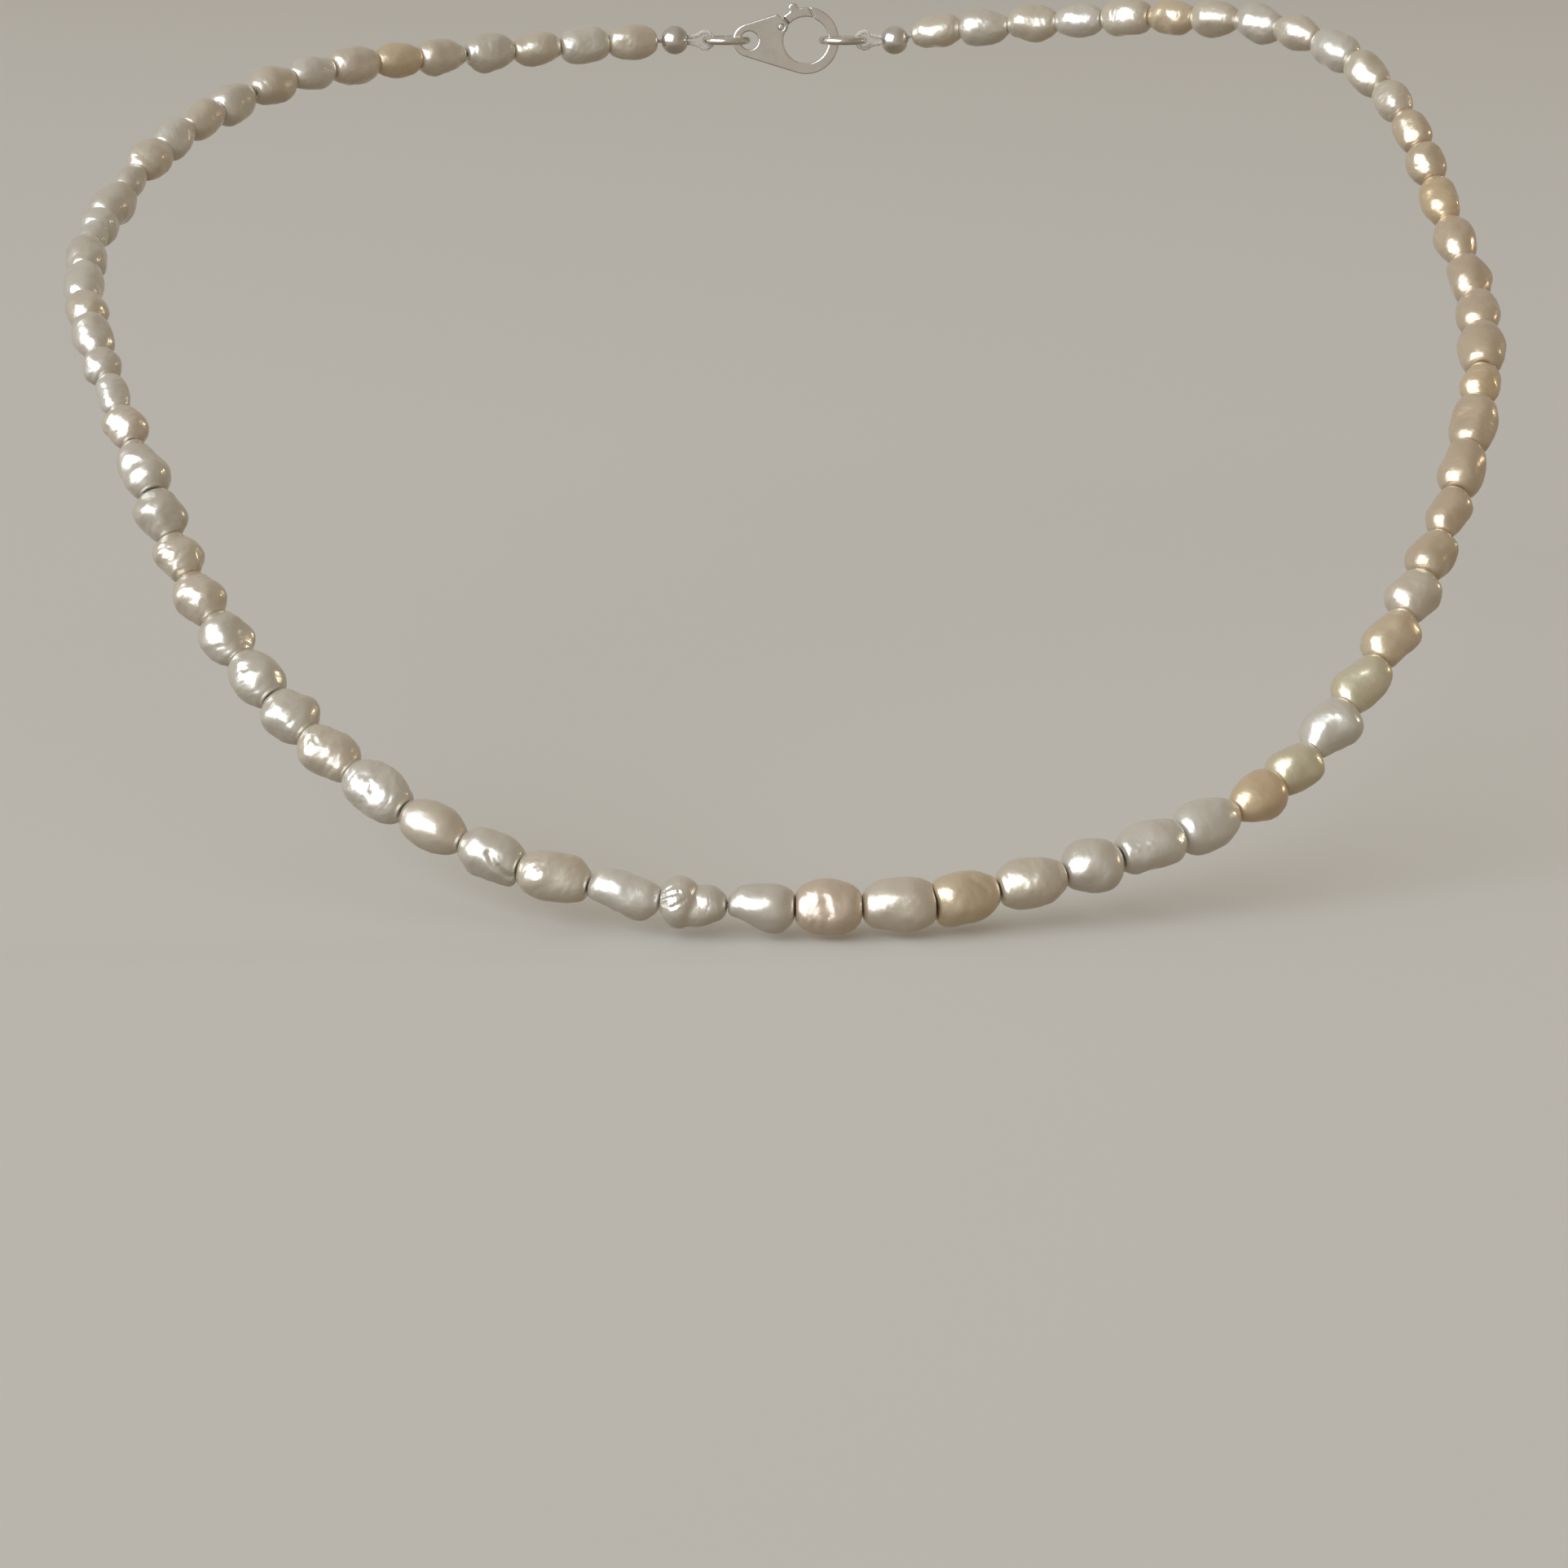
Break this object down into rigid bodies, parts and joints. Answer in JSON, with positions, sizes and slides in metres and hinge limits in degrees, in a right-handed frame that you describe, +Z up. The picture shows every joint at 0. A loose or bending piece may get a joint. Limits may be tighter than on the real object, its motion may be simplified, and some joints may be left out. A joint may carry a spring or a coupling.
{
  "type": "pearl necklace",
  "caption": "Single strand necklace of irregular cream rice pearls on a beading thread, worn close round the neck and closed at the nape by a lobster clasp with jump rings.",
  "frame": {"origin": "on the axis of the neck the strand goes round, level with the hole of the lowest front pearl", "axes": "+X to the viewer's right, -Y towards the viewer who faces the wearer, +Z up along the neck"},
  "size_m": [0.1319, 0.1195, 0.0683],
  "materials": {
    "pearl": "nacre, glossy with a soft lustre",
    "thread": "matt twisted beading thread",
    "metal": "polished silver colour"
  },
  "bodies": {
    "strand": {"beading_thread": "thread", "crimp_left": "metal", "crimp_right": "metal", "crimp_cover_left": "metal", "crimp_cover_right": "metal", "back_left_pearls": "pearl", "back_right_pearls": "pearl"},
    "clasp": {"clasp_body": "metal", "lever_pin": "metal", "lever_spring": "metal"},
    "lever": {"clasp_lever": "metal"},
    "ring_left": {"jump_ring_left": "metal"},
    "ring_right": {"jump_ring_right": "metal"},
    "pearl_01": {"pearl_01": "pearl"},
    "pearl_02": {"pearl_02": "pearl"},
    "pearl_03": {"pearl_03": "pearl"},
    "pearl_04": {"pearl_04": "pearl"},
    "pearl_05": {"pearl_05": "pearl"},
    "pearl_06": {"pearl_06": "pearl"},
    "pearl_07": {"pearl_07": "pearl"},
    "pearl_08": {"pearl_08": "pearl"},
    "pearl_09": {"pearl_09": "pearl"},
    "pearl_10": {"pearl_10": "pearl"},
    "pearl_11": {"pearl_11": "pearl"},
    "pearl_12": {"pearl_12": "pearl"},
    "pearl_13": {"pearl_13": "pearl"},
    "pearl_14": {"pearl_14": "pearl"},
    "pearl_15": {"pearl_15": "pearl"},
    "pearl_16": {"pearl_16": "pearl"},
    "pearl_17": {"pearl_17": "pearl"},
    "pearl_18": {"pearl_18": "pearl"},
    "pearl_19": {"pearl_19": "pearl"},
    "pearl_20": {"pearl_20": "pearl"},
    "pearl_21": {"pearl_21": "pearl"},
    "pearl_22": {"pearl_22": "pearl"},
    "pearl_23": {"pearl_23": "pearl"},
    "pearl_24": {"pearl_24": "pearl"},
    "pearl_25": {"pearl_25": "pearl"},
    "pearl_26": {"pearl_26": "pearl"},
    "pearl_27": {"pearl_27": "pearl"},
    "pearl_28": {"pearl_28": "pearl"},
    "pearl_29": {"pearl_29": "pearl"},
    "pearl_30": {"pearl_30": "pearl"},
    "pearl_31": {"pearl_31": "pearl"},
    "pearl_32": {"pearl_32": "pearl"},
    "pearl_33": {"pearl_33": "pearl"},
    "pearl_34": {"pearl_34": "pearl"},
    "pearl_35": {"pearl_35": "pearl"},
    "pearl_36": {"pearl_36": "pearl"},
    "pearl_37": {"pearl_37": "pearl"},
    "pearl_38": {"pearl_38": "pearl"},
    "pearl_39": {"pearl_39": "pearl"},
    "pearl_40": {"pearl_40": "pearl"},
    "pearl_41": {"pearl_41": "pearl"},
    "pearl_42": {"pearl_42": "pearl"},
    "pearl_43": {"pearl_43": "pearl"},
    "pearl_44": {"pearl_44": "pearl"},
    "pearl_45": {"pearl_45": "pearl"},
    "pearl_46": {"pearl_46": "pearl"},
    "pearl_47": {"pearl_47": "pearl"}
  },
  "joints": [
    {"name": "clasp_roll", "type": "hinge", "parent": "strand", "child": "clasp", "pos_m": [0, 0.05375, 0.061], "axis": [1, 0, 0], "range_deg": [-20, 20]},
    {"name": "clasp_lever_press", "type": "hinge", "parent": "clasp", "child": "lever", "pos_m": [-0.00033, 0.05375, 0.06239], "axis": [0, 1, 0], "range_deg": [0, 40], "stiffness_Nm_per_rad": 0.002, "springref_deg": -11.46, "deforming": ["lever_spring"]},
    {"name": "jump_ring_left_spin", "type": "hinge", "parent": "strand", "child": "ring_left", "pos_m": [-0.00617, 0.05375, 0.061], "axis": [0, 0, 1], "continuous": true},
    {"name": "jump_ring_right_spin", "type": "hinge", "parent": "strand", "child": "ring_right", "pos_m": [0.00617, 0.05375, 0.061], "axis": [0, 0, 1], "continuous": true},
    {"name": "pearl_01_spin", "type": "hinge", "parent": "strand", "child": "pearl_01", "pos_m": [-0.06334, 0.00728, 0.04828], "axis": [-0.1461, -0.9389, -0.3118], "continuous": true},
    {"name": "pearl_02_spin", "type": "hinge", "parent": "strand", "child": "pearl_02", "pos_m": [-0.06388, 0.00121, 0.04639], "axis": [-0.0257, -0.9596, -0.2803], "continuous": true},
    {"name": "pearl_03_spin", "type": "hinge", "parent": "strand", "child": "pearl_03", "pos_m": [-0.06375, -0.00465, 0.04473], "axis": [0.0772, -0.9622, -0.2613], "continuous": true},
    {"name": "pearl_04_spin", "type": "hinge", "parent": "strand", "child": "pearl_04", "pos_m": [-0.06295, -0.01053, 0.04299], "axis": [0.173, -0.9391, -0.2968], "continuous": true},
    {"name": "pearl_05_spin", "type": "hinge", "parent": "strand", "child": "pearl_05", "pos_m": [-0.06177, -0.01581, 0.04122], "axis": [0.2559, -0.9083, -0.331], "continuous": true},
    {"name": "pearl_06_spin", "type": "hinge", "parent": "strand", "child": "pearl_06", "pos_m": [-0.06045, -0.01992, 0.03941], "axis": [0.3063, -0.8444, -0.4395], "continuous": true},
    {"name": "pearl_07_spin", "type": "hinge", "parent": "strand", "child": "pearl_07", "pos_m": [-0.05914, -0.02328, 0.03746], "axis": [0.3385, -0.7814, -0.5243], "continuous": true},
    {"name": "pearl_08_spin", "type": "hinge", "parent": "strand", "child": "pearl_08", "pos_m": [-0.05784, -0.02607, 0.03542], "axis": [0.3627, -0.7311, -0.5779], "continuous": true},
    {"name": "pearl_09_spin", "type": "hinge", "parent": "strand", "child": "pearl_09", "pos_m": [-0.05639, -0.02882, 0.03308], "axis": [0.3827, -0.6803, -0.6251], "continuous": true},
    {"name": "pearl_10_spin", "type": "hinge", "parent": "strand", "child": "pearl_10", "pos_m": [-0.05461, -0.03175, 0.03002], "axis": [0.3889, -0.6077, -0.6925], "continuous": true},
    {"name": "pearl_11_spin", "type": "hinge", "parent": "strand", "child": "pearl_11", "pos_m": [-0.05267, -0.03463, 0.0265], "axis": [0.3976, -0.5494, -0.7349], "continuous": true},
    {"name": "pearl_12_spin", "type": "hinge", "parent": "strand", "child": "pearl_12", "pos_m": [-0.05088, -0.03698, 0.02335], "axis": [0.4328, -0.5409, -0.7212], "continuous": true},
    {"name": "pearl_13_spin", "type": "hinge", "parent": "strand", "child": "pearl_13", "pos_m": [-0.04884, -0.03938, 0.02035], "axis": [0.4986, -0.5618, -0.6602], "continuous": true},
    {"name": "pearl_14_spin", "type": "hinge", "parent": "strand", "child": "pearl_14", "pos_m": [-0.04641, -0.04197, 0.01744], "axis": [0.5612, -0.5638, -0.6059], "continuous": true},
    {"name": "pearl_15_spin", "type": "hinge", "parent": "strand", "child": "pearl_15", "pos_m": [-0.04364, -0.04458, 0.0147], "axis": [0.6174, -0.5489, -0.5635], "continuous": true},
    {"name": "pearl_16_spin", "type": "hinge", "parent": "strand", "child": "pearl_16", "pos_m": [-0.04062, -0.0471, 0.01213], "axis": [0.667, -0.5226, -0.5309], "continuous": true},
    {"name": "pearl_17_spin", "type": "hinge", "parent": "strand", "child": "pearl_17", "pos_m": [-0.03717, -0.0496, 0.00962], "axis": [0.7226, -0.492, -0.4856], "continuous": true},
    {"name": "pearl_18_spin", "type": "hinge", "parent": "strand", "child": "pearl_18", "pos_m": [-0.03299, -0.05221, 0.00709], "axis": [0.7842, -0.4501, -0.4272], "continuous": true},
    {"name": "pearl_19_spin", "type": "hinge", "parent": "strand", "child": "pearl_19", "pos_m": [-0.02831, -0.05465, 0.00483], "axis": [0.8445, -0.3974, -0.3589], "continuous": true},
    {"name": "pearl_20_spin", "type": "hinge", "parent": "strand", "child": "pearl_20", "pos_m": [-0.02353, -0.05668, 0.00305], "axis": [0.8965, -0.3381, -0.2862], "continuous": true},
    {"name": "pearl_21_spin", "type": "hinge", "parent": "strand", "child": "pearl_21", "pos_m": [-0.01838, -0.05837, 0.0017], "axis": [0.942, -0.2694, -0.2003], "continuous": true},
    {"name": "pearl_22_spin", "type": "hinge", "parent": "strand", "child": "pearl_22", "pos_m": [-0.01273, -0.05972, 0.00074], "axis": [0.974, -0.1886, -0.1259], "continuous": true},
    {"name": "pearl_23_spin", "type": "hinge", "parent": "strand", "child": "pearl_23", "pos_m": [-0.00717, -0.06056, 0.00023], "axis": [0.9929, -0.1069, -0.0519], "continuous": true},
    {"name": "pearl_24_spin", "type": "hinge", "parent": "strand", "child": "pearl_24", "pos_m": [-0.00185, -0.06092, 0.00004], "axis": [0.9994, -0.0275, -0.0211], "continuous": true},
    {"name": "pearl_25_spin", "type": "hinge", "parent": "strand", "child": "pearl_25", "pos_m": [0.00345, -0.06086, -0.00007], "axis": [0.9985, 0.0513, -0.0209], "continuous": true},
    {"name": "pearl_26_spin", "type": "hinge", "parent": "strand", "child": "pearl_26", "pos_m": [0.00896, -0.06034, -0.00004], "axis": [0.9905, 0.1337, 0.0317], "continuous": true},
    {"name": "pearl_27_spin", "type": "hinge", "parent": "strand", "child": "pearl_27", "pos_m": [0.01445, -0.05937, 0.00038], "axis": [0.9694, 0.2143, 0.1199], "continuous": true},
    {"name": "pearl_28_spin", "type": "hinge", "parent": "strand", "child": "pearl_28", "pos_m": [0.01971, -0.05798, 0.00114], "axis": [0.9437, 0.2914, 0.1563], "continuous": true},
    {"name": "pearl_29_spin", "type": "hinge", "parent": "strand", "child": "pearl_29", "pos_m": [0.02469, -0.05623, 0.00199], "axis": [0.9166, 0.3656, 0.1617], "continuous": true},
    {"name": "pearl_30_spin", "type": "hinge", "parent": "strand", "child": "pearl_30", "pos_m": [0.02948, -0.05408, 0.00294], "axis": [0.8791, 0.4354, 0.1937], "continuous": true},
    {"name": "pearl_31_spin", "type": "hinge", "parent": "strand", "child": "pearl_31", "pos_m": [0.0344, -0.05136, 0.00411], "axis": [0.8349, 0.5081, 0.2116], "continuous": true},
    {"name": "pearl_32_spin", "type": "hinge", "parent": "strand", "child": "pearl_32", "pos_m": [0.03875, -0.0485, 0.00548], "axis": [0.771, 0.5597, 0.3039], "continuous": true},
    {"name": "pearl_33_spin", "type": "hinge", "parent": "strand", "child": "pearl_33", "pos_m": [0.04223, -0.04579, 0.00732], "axis": [0.6776, 0.5676, 0.4675], "continuous": true},
    {"name": "pearl_34_spin", "type": "hinge", "parent": "strand", "child": "pearl_34", "pos_m": [0.0454, -0.04294, 0.0099], "axis": [0.5976, 0.574, 0.5598], "continuous": true},
    {"name": "pearl_35_spin", "type": "hinge", "parent": "strand", "child": "pearl_35", "pos_m": [0.04852, -0.03971, 0.01299], "axis": [0.5476, 0.6078, 0.5751], "continuous": true},
    {"name": "pearl_36_spin", "type": "hinge", "parent": "strand", "child": "pearl_36", "pos_m": [0.05139, -0.03629, 0.0162], "axis": [0.4954, 0.6374, 0.5902], "continuous": true},
    {"name": "pearl_37_spin", "type": "hinge", "parent": "strand", "child": "pearl_37", "pos_m": [0.05378, -0.03302, 0.01921], "axis": [0.4463, 0.6604, 0.6039], "continuous": true},
    {"name": "pearl_38_spin", "type": "hinge", "parent": "strand", "child": "pearl_38", "pos_m": [0.05579, -0.02984, 0.02211], "axis": [0.3992, 0.6779, 0.6173], "continuous": true},
    {"name": "pearl_39_spin", "type": "hinge", "parent": "strand", "child": "pearl_39", "pos_m": [0.0576, -0.02652, 0.02515], "axis": [0.3496, 0.6898, 0.634], "continuous": true},
    {"name": "pearl_40_spin", "type": "hinge", "parent": "strand", "child": "pearl_40", "pos_m": [0.05929, -0.02286, 0.02834], "axis": [0.3102, 0.7309, 0.6079], "continuous": true},
    {"name": "pearl_41_spin", "type": "hinge", "parent": "strand", "child": "pearl_41", "pos_m": [0.06092, -0.01852, 0.03164], "axis": [0.2643, 0.7901, 0.5531], "continuous": true},
    {"name": "pearl_42_spin", "type": "hinge", "parent": "strand", "child": "pearl_42", "pos_m": [0.06221, -0.01417, 0.03448], "axis": [0.2105, 0.8393, 0.5013], "continuous": true},
    {"name": "pearl_43_spin", "type": "hinge", "parent": "strand", "child": "pearl_43", "pos_m": [0.06319, -0.00921, 0.03695], "axis": [0.1458, 0.9085, 0.3916], "continuous": true},
    {"name": "pearl_44_spin", "type": "hinge", "parent": "strand", "child": "pearl_44", "pos_m": [0.06383, -0.00313, 0.03936], "axis": [0.0506, 0.9386, 0.3412], "continuous": true},
    {"name": "pearl_45_spin", "type": "hinge", "parent": "strand", "child": "pearl_45", "pos_m": [0.06387, 0.00245, 0.04188], "axis": [-0.0452, 0.871, 0.4892], "continuous": true},
    {"name": "pearl_46_spin", "type": "hinge", "parent": "strand", "child": "pearl_46", "pos_m": [0.06338, 0.00724, 0.04489], "axis": [-0.1258, 0.8131, 0.5683], "continuous": true},
    {"name": "pearl_47_spin", "type": "hinge", "parent": "strand", "child": "pearl_47", "pos_m": [0.06258, 0.01139, 0.04823], "axis": [-0.1764, 0.7158, 0.6757], "continuous": true}
  ]
}
